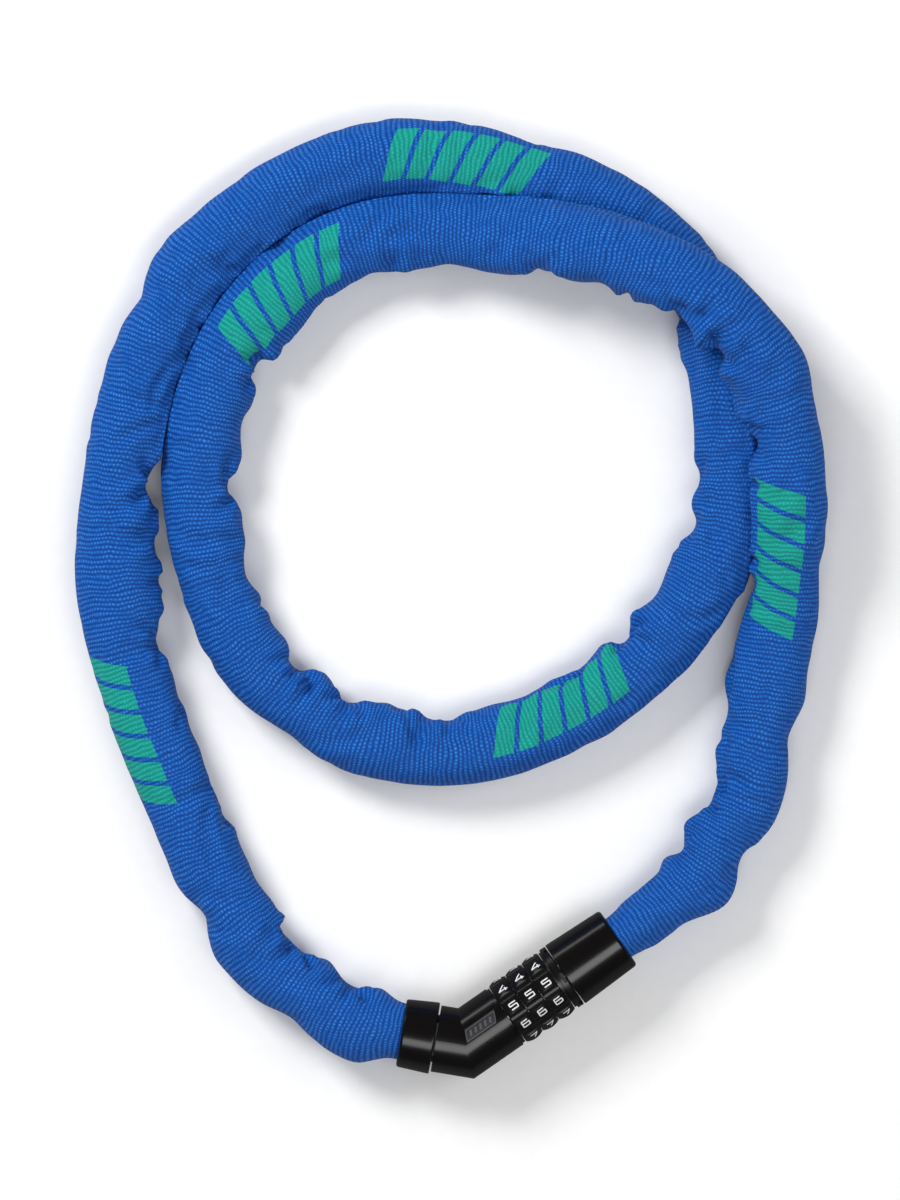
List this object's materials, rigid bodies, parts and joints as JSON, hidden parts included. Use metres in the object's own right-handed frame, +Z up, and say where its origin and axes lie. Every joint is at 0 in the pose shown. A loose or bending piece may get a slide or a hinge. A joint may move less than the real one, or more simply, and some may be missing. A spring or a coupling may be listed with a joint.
{
  "type": "combination chain lock",
  "caption": "Combination chain lock: square-bar steel chain in a woven blue sleeve, coiled twice, closing with a plug on a bent lock body with numbered dials.",
  "frame": {"origin": "bottom centre of the whole object's box, as it lies coiled on a flat surface", "axes": "+Z up from the surface it lies on; +Y from the lock body towards the far side of the coil; +X to the right seen from above with the lock body nearest"},
  "size_m": [0.2104, 0.2708, 0.0312],
  "materials": {
    "shell_black": "gloss",
    "dial_black": "satin",
    "ring_black": "satin",
    "tumbler_alloy": "die-cast",
    "plate_grey": "satin",
    "digit_white": "matt paint",
    "mechanism_steel": "zinc plated",
    "spring_steel": "polished",
    "chain_steel": "zinc plated",
    "sleeve_blue": "coarse ribbed weave",
    "sleeve_print": "printed weave"
  },
  "bodies": {
    "lock_body": {"housing_upper": "shell_black", "housing_lower": "shell_black", "housing_pin": "mechanism_steel", "nameplate": "plate_grey", "lock_core": "mechanism_steel", "end_cap": "shell_black", "chain_pin_left": "mechanism_steel", "barrel": "mechanism_steel", "detent_spring": "spring_steel", "return_spring": "spring_steel", "retaining_clip": "spring_steel"},
    "reset_ring": {"reset_ring": "ring_black"},
    "plug": {"plug_cover": "shell_black", "plug_core": "mechanism_steel", "bolt": "mechanism_steel", "chain_pin_right": "mechanism_steel"},
    "chain_left": {"chain_links_left": "chain_steel", "sleeve_neck_bend": "sleeve_blue", "sleeve_left_1": "sleeve_blue", "sleeve_left_2": "sleeve_blue"},
    "chain_coil": {"chain_links_coil": "chain_steel", "sleeve_left_bend": "sleeve_blue", "sleeve_coil_01": "sleeve_blue", "sleeve_coil_02": "sleeve_blue", "sleeve_coil_03": "sleeve_blue", "sleeve_coil_04": "sleeve_blue", "sleeve_coil_05": "sleeve_blue", "sleeve_coil_06": "sleeve_blue", "sleeve_coil_07": "sleeve_blue", "sleeve_coil_08": "sleeve_blue", "sleeve_coil_09": "sleeve_blue", "sleeve_coil_10": "sleeve_blue", "sleeve_coil_11": "sleeve_blue"},
    "chain_right": {"chain_links_right": "chain_steel", "sleeve_right_bend": "sleeve_blue", "sleeve_right": "sleeve_blue"},
    "chain_tail": {"chain_links_tail": "chain_steel", "sleeve_tail_bend": "sleeve_blue", "sleeve_tail": "sleeve_blue"},
    "dial_1": {"dial_1": "dial_black"},
    "tumbler_1": {"tumbler_1": "tumbler_alloy"},
    "dial_2": {"dial_2": "dial_black"},
    "tumbler_2": {"tumbler_2": "tumbler_alloy"},
    "dial_3": {"dial_3": "dial_black"},
    "tumbler_3": {"tumbler_3": "tumbler_alloy"}
  },
  "joints": [
    {"name": "dial_1_turn", "type": "hinge", "parent": "lock_body", "child": "dial_1", "pos_m": [0.01804, -0.1156, 0.0104], "axis": [0.8211, 0.5707, 0], "continuous": true, "deforming": ["detent_spring"]},
    {"name": "dial_2_turn", "type": "hinge", "parent": "lock_body", "child": "dial_2", "pos_m": [0.02264, -0.11241, 0.0104], "axis": [0.8211, 0.5707, 0], "continuous": true, "deforming": ["detent_spring"]},
    {"name": "dial_3_turn", "type": "hinge", "parent": "lock_body", "child": "dial_3", "pos_m": [0.02724, -0.10921, 0.0104], "axis": [0.8211, 0.5707, 0], "continuous": true, "deforming": ["detent_spring"]},
    {"name": "reset_turn", "type": "hinge", "parent": "lock_body", "child": "reset_ring", "pos_m": [0.03073, -0.10679, 0.0104], "axis": [0.8211, 0.5707, 0], "range_deg": [0, 90], "deforming": ["return_spring"]},
    {"name": "tumbler_1_shift", "type": "slide", "parent": "dial_1", "child": "tumbler_1", "axis": [-0.8211, -0.5707, 0], "range_m": [0, 0.0012]},
    {"name": "tumbler_2_shift", "type": "slide", "parent": "dial_2", "child": "tumbler_2", "axis": [-0.8211, -0.5707, 0], "range_m": [0, 0.0012]},
    {"name": "tumbler_3_shift", "type": "slide", "parent": "dial_3", "child": "tumbler_3", "axis": [-0.8211, -0.5707, 0], "range_m": [0, 0.0012]},
    {"name": "plug_slide", "type": "slide", "parent": "lock_body", "child": "plug", "axis": [0.8211, 0.5707, 0], "range_m": [0, 0.026]},
    {"name": "chain_left_bend", "type": "hinge", "parent": "lock_body", "child": "chain_left", "pos_m": [-0.00788, -0.12343, 0.0104], "axis": [0, 0, 1], "range_deg": [-6.37, 0], "deforming": ["sleeve_neck_bend"]},
    {"name": "chain_coil_bend", "type": "hinge", "parent": "chain_left", "child": "chain_coil", "pos_m": [-0.09246, -0.01357, 0.00749], "axis": [0, 0, 1], "range_deg": [0, 8.5], "deforming": ["sleeve_left_bend"]},
    {"name": "chain_right_bend", "type": "hinge", "parent": "chain_coil", "child": "chain_right", "pos_m": [0.0949, 0.0103, 0.01198], "axis": [0, 0, 1], "range_deg": [0, 7.9], "deforming": ["sleeve_right_bend"]},
    {"name": "chain_tail_bend", "type": "hinge", "parent": "chain_right", "child": "chain_tail", "pos_m": [0.08585, -0.04476, 0.0075], "axis": [0, 0, 1], "range_deg": [-9.99, 0], "deforming": ["sleeve_tail_bend"]}
  ],
  "couplings": [
    {"joint": "tumbler_1_shift", "follows": "reset_turn", "m_per_rad": 0.00076394},
    {"joint": "tumbler_2_shift", "follows": "reset_turn", "m_per_rad": 0.00076394},
    {"joint": "tumbler_3_shift", "follows": "reset_turn", "m_per_rad": 0.00076394},
    {"joint": "chain_left_bend", "follows": "plug_slide", "rad_per_m": -4.2746},
    {"joint": "chain_coil_bend", "follows": "plug_slide", "rad_per_m": 5.6992},
    {"joint": "chain_right_bend", "follows": "plug_slide", "rad_per_m": 5.3014},
    {"joint": "chain_tail_bend", "follows": "plug_slide", "rad_per_m": -6.7054}
  ]
}
